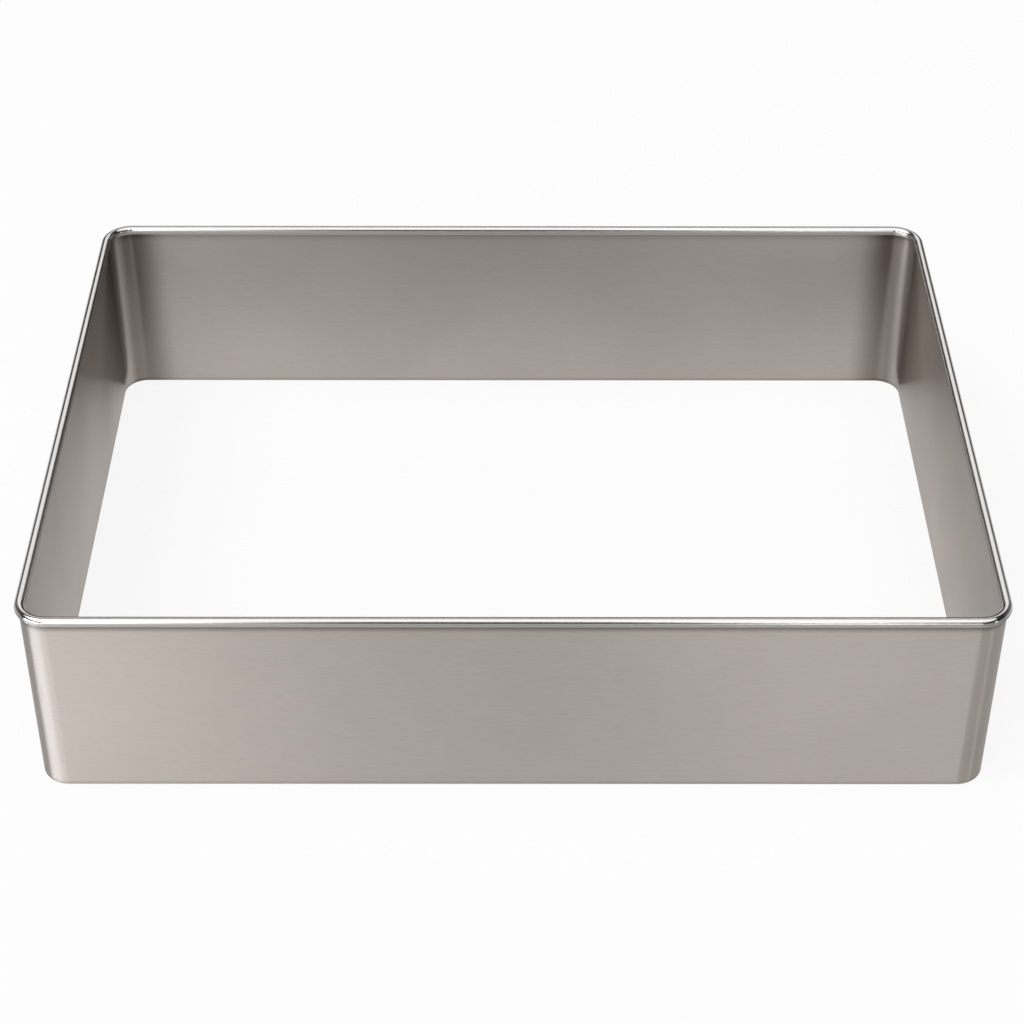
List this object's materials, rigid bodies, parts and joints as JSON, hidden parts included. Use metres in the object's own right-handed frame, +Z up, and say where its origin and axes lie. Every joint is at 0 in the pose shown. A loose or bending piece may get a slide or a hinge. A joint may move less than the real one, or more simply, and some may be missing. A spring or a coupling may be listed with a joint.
{
  "type": "rectangular cake ring",
  "caption": "Open rectangular frame of brushed stainless sheet with rounded corners, a bare bottom edge and a wired, rolled top rim, for baking and building layered cakes.",
  "frame": {"origin": "middle of the frame, on the plane of the bottom edge that it stands on", "axes": "+X along the long side, +Y along the short side, +Z up from the cut bottom edge to the rolled rim"},
  "size_m": [0.217, 0.1598, 0.05],
  "materials": {
    "brushed_sheet": "fine brush lines along the walls, rim burnished smooth by rolling",
    "drawn_wire": "bright drawn wire",
    "ground_weld": "weld ground flush and brushed over"
  },
  "bodies": {
    "root": {"wall_band": "brushed_sheet", "rim_wire": "drawn_wire", "seam_weld": "ground_weld"}
  },
  "joints": []
}
